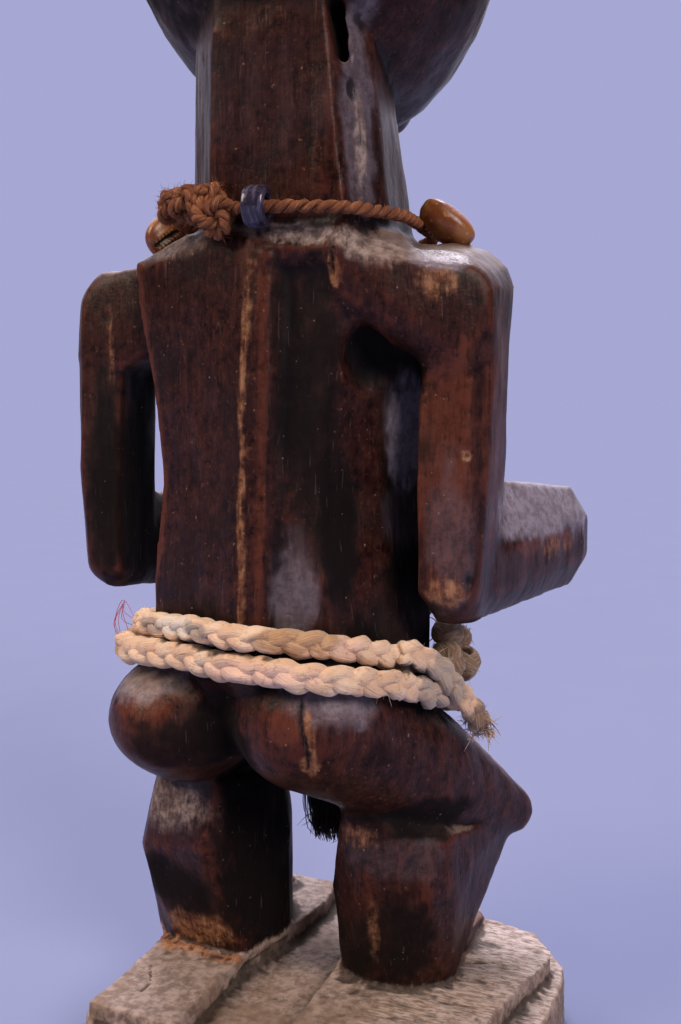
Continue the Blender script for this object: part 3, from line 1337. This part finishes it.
# %% Torn cotton cloth
STAINS = {
    # map: centre, radii and strength of each stain on the belt
    "browned": [
        ((-20, 43, 144), (24, 14, 6), 0.9),
        ((52, 24, 134), (14, 14, 7), 0.8),
        ((14, 50, 131), (12, 8, 4), 0.5),
    ],
    "greyed": [
        ((16, 47, 145), (9, 8, 5), 0.9),
        ((36, 36, 143), (8, 8, 5), 0.7),
        ((-50, 10, 126), (14, 16, 16), 0.8),
    ],
    "sooty": [((-47, -15, 132), (16, 22, 18), 1.2), ((-57, -4, 114), (8, 8, 9), 0.7)],
    "pinkish": [((-8, 50, 134.5), (30, 12, 5), 0.8), ((-30, 36, 141), (8, 8, 5), 0.6)],
    "whitened": [((28, 44, 145), (22, 12, 5), 0.9)],
}


def torn_cotton():
    material, tree = new_finish("torn_cotton_cloth")
    where = add(tree, "TexCoord", {}).outputs["Object"]
    lie = add(tree, "Attribute", {}, attribute_name="straight").outputs["Vector"]
    along = add(tree, "Mapping", {"Vector": lie, "Scale": (1, 1, 0.12)})
    thread = add(tree, "TexNoise", {"Vector": along, "Scale": 1 / (0.5 * MM), "Detail": 3, "Roughness": 0.6})
    spun = {"Vector": lie, "Scale": 0.5 / (0.55 * MM), "Distortion": 6, "Detail": 2}
    weft = add(tree, "TexWave", spun, bands_direction="Z")
    cloud = add(tree, "TexNoise", {"Vector": where, "Scale": 1 / (9 * MM), "Detail": 4})
    mottle = add(tree, "TexNoise", {"Vector": where, "Scale": 1 / (1.8 * MM), "Detail": 3})
    stain = {}
    for name in (*STAINS, "deep", "thread_red"):
        stain[name] = add(tree, "Attribute", {}, attribute_name=name).outputs["Fac"]
    body = coated(
        tree,
        linear("#e0b898"),
        [
            (cloud, 0.40, 0.65, 0.8, "#f1d3b6"),
            (stain["whitened"], 0.1, 0.8, 0.85, "#e2d8cb"),
            (stain["browned"], 0.1, 0.8, 0.85, "#b58a62"),
            (stain["pinkish"], 0.1, 0.8, 0.8, "#e4bcac"),
            (stain["greyed"], 0.1, 0.8, 0.8, "#9c8e84"),
            (stain["sooty"], 0.1, 0.8, 0.85, "#5c4231"),
            (thread, 0.45, 0.75, 0.4, "#e6d3ba"),
            (mottle, 0.54, 0.76, 0.5, "#8f6a4c"),
            (stain["thread_red"], 0.4, 0.6, 1.0, "#c25e72"),
            (stain["deep"], 0.0, 0.9, 0.95, "#41271a"),
        ],
    )
    lines = add(tree, "Bump", {"Height": thread, "Strength": 0.9, "Distance": 0.6 * MM})
    weave = add(tree, "Bump", {"Height": weft, "Strength": 0.25, "Distance": 0.15 * MM, "Normal": lines})
    surface = {"Base Color": body, "Roughness": 0.92, "Normal": weave, "IOR": 1.5, "Specular IOR Level": 0.2}
    shader = add(tree, "BsdfPrincipled", {**surface, "Sheen Weight": 0.25, "Sheen Roughness": 0.5})
    add(tree, "OutputMaterial", {"Surface": shader})
    return material


def tree_of(mesh):
    """A tree for casting rays at one mesh, in millimetres."""
    corners = points_of(mesh)
    return BVHTree.FromPolygons(corners.tolist(), [tuple(p.vertices) for p in mesh.polygons])


cloth = belt_rope.data
cloth_points = points_of(cloth)
cloth_seen = openness(cloth_points, normals_of(cloth), tree_of(cloth), samples=10, reach_mm=9, seed=12)
keep_map(cloth, "deep", 1 - shade(cloth_seen, 0.15, 0.7))
for name, table in STAINS.items():
    keep_map(cloth, name, patches(cloth_points, table, 61))
# One spot at the back is pink, and so are the loose threads, whose points are the last of the mesh.
pink = ball(cloth_points, (-6, 52.5, 137), (6, 3, 1.6)) > 0.2
pink[-sum(thread["skin"].size // 3 for thread in pink_threads) :] = True
keep_map(cloth, "thread_red", pink)
put_on(torn_cotton(), cloth)
print("the cloth's points see", round(100 * float(cloth_seen.mean())), "% of the open space round them")

# %% [markdown]
# The cord is twisted from a brown plant fibre, dyed by the red powder rubbed on the figure. Its fibres run
# with the twist and stand out of it, so the light catches the crests and the grooves stay dark. The fibres
# are drawn a quarter of a millimetre wide, twice as coarse as they are.


# %% Twisted plant fibre
def twisted_fibre():
    material, tree = new_finish("twisted_plant_fibre")
    where = add(tree, "TexCoord", {}).outputs["Object"]
    lie = add(tree, "Attribute", {}, attribute_name="straight").outputs["Vector"]
    along = add(tree, "Mapping", {"Vector": lie, "Scale": (1, 1, 0.08)})
    strands = add(tree, "TexNoise", {"Vector": along, "Scale": 1 / (0.25 * MM), "Detail": 2})
    cloud = add(tree, "TexNoise", {"Vector": where, "Scale": 1 / (6 * MM), "Detail": 3})
    deep = add(tree, "Attribute", {}, attribute_name="deep").outputs["Fac"]
    body = coated(
        tree,
        linear("#73442d"),
        [
            (cloud, 0.40, 0.65, 0.7, "#8a5335"),
            (strands, 0.50, 0.72, 0.75, "#b98258"),
            (strands, 0.45, 0.22, 0.6, "#57301d"),
            (deep, 0.0, 1.0, 0.85, "#2a150c"),
        ],
    )
    fibres = add(tree, "Bump", {"Height": strands, "Strength": 0.8, "Distance": 0.3 * MM})
    surface = {"Base Color": body, "Roughness": 0.85, "Normal": fibres, "IOR": 1.5}
    surface["Specular IOR Level"] = 0.25
    shader = add(tree, "BsdfPrincipled", surface)
    add(tree, "OutputMaterial", {"Surface": shader})
    return material


twine = necklace.data
twine_seen = openness(points_of(twine), normals_of(twine), tree_of(twine), samples=10, reach_mm=6, seed=13)
keep_map(twine, "deep", 1 - shade(twine_seen, 0.0, 0.3))
put_on(twisted_fibre(), twine)
print("the cord's points see", round(100 * float(twine_seen.mean())), "% of the open space round them")

# %% [markdown]
# The tuft is coarse dark hair or fibre. A hair is a smooth rod, so it shines in a line along its length: a
# middling roughness does that once every strand has its own slight colour.


# %% Coarse dark fibre
def coarse_hair():
    material, tree = new_finish("coarse_dark_fibre")
    lie = add(tree, "Attribute", {}, attribute_name="straight").outputs["Vector"]
    along = add(tree, "Mapping", {"Vector": lie, "Scale": (0.2, 0.2, 0.05)})
    strands = add(tree, "TexNoise", {"Vector": along, "Scale": 1 / (0.8 * MM), "Detail": 2})
    body = coated(
        tree,
        linear("#120d0b"),
        [(strands, 0.45, 0.7, 0.8, "#2b1d15"), (strands, 0.66, 0.8, 0.7, "#4f3a2a")],
    )
    scales = add(tree, "Bump", {"Height": strands, "Strength": 0.4, "Distance": 0.1 * MM})
    surface = {"Base Color": body, "Roughness": 0.5, "Normal": scales, "IOR": 1.55, "Specular IOR Level": 0.4}
    shader = add(tree, "BsdfPrincipled", surface)
    add(tree, "OutputMaterial", {"Surface": shader})
    return material


put_on(coarse_hair(), hanging.data)

# %% [markdown]
# The bead is dark blue glass, wound hot round a wire, so faint bands run round it. Glass has an IOR of 1.52.
# Years of rubbing have left fine pits and a greyish bloom, so it is glossy rather than mirror bright.


# %% Wound blue glass
def wound_glass():
    material, tree = new_finish("wound_blue_glass")
    where = add(tree, "TexCoord", {}).outputs["Object"]
    wound = add(tree, "Mapping", {"Vector": where, "Scale": (1, 0.2, 0.2)})
    bands = add(tree, "TexNoise", {"Vector": wound, "Scale": 1 / (1.2 * MM), "Detail": 2})
    pits = add(tree, "TexNoise", {"Vector": where, "Scale": 1 / (0.7 * MM), "Detail": 3})
    body = coated(
        tree,
        linear("#292434"),
        [
            (bands, 0.45, 0.65, 0.7, "#575068"),
            (pits, 0.58, 0.75, 0.5, "#5a586a"),
            (pits, 0.72, 0.8, 0.5, "#a9a6ac"),
        ],
    )
    rough = add(tree, "Math", {0: pits, 1: 0.3, 2: 0.03}, operation="MULTIPLY_ADD")
    dimples = add(tree, "Bump", {"Height": pits, "Strength": 0.3, "Distance": 0.15 * MM})
    surface = {"Base Color": body, "Roughness": rough, "Normal": dimples, "IOR": 1.52}
    surface["Specular IOR Level"] = 0.5
    shader = add(tree, "BsdfPrincipled", surface)
    add(tree, "OutputMaterial", {"Surface": shader})
    return material


put_on(wound_glass(), blue_bead.data)

# %% [markdown]
# A cowrie is glazed by the living animal, so it is glossy. These have been rubbed with oil and red powder
# for generations: the hump is orange-brown, the toothed lips stay paler, and the slit is filled with dirt.
# The spots are natural and one to two millimetres wide.


# %% Handled cowrie shell
def cowrie_glaze():
    material, tree = new_finish("handled_cowrie_shell")
    where = add(tree, "TexCoord", {}).outputs["Object"]
    cloud = add(tree, "TexNoise", {"Vector": where, "Scale": 1 / (5 * MM), "Detail": 4})
    spots = add(tree, "TexVoronoi", {"Vector": where, "Scale": 1 / (2.2 * MM), "Randomness": 1.0})
    scuffs = add(tree, "TexNoise", {"Vector": where, "Scale": 1 / (0.6 * MM), "Detail": 3})
    part = {}
    for name in ("slit", "teeth", "hump"):
        part[name] = add(tree, "Attribute", {}, attribute_name=name).outputs["Fac"]
    body = coated(
        tree,
        linear("#94602f"),
        [
            (part["hump"], 0.0, 0.7, 0.9, "#96502b"),
            (cloud, 0.42, 0.62, 0.75, "#6b2f18"),
            (spots, 0.30, 0.15, 0.35, "#d9a468"),
            (part["teeth"], 0.3, 0.9, 0.8, "#e3cfa0"),
            (part["slit"], 0.15, 0.6, 0.97, "#120804"),
            (scuffs, 0.62, 0.75, 0.4, "#5b3320"),
        ],
    )
    rough = add(tree, "Math", {0: scuffs, 1: 0.5, 2: 0.1}, operation="MULTIPLY_ADD")
    wear = add(tree, "Bump", {"Height": scuffs, "Strength": 0.2, "Distance": 0.1 * MM})
    surface = {"Base Color": body, "Roughness": rough, "Normal": wear, "IOR": 1.53, "Specular IOR Level": 0.5}
    shader = add(tree, "BsdfPrincipled", surface)
    add(tree, "OutputMaterial", {"Surface": shader})
    return material


put_on(cowrie_glaze(), *[shell.data for shell in shells])
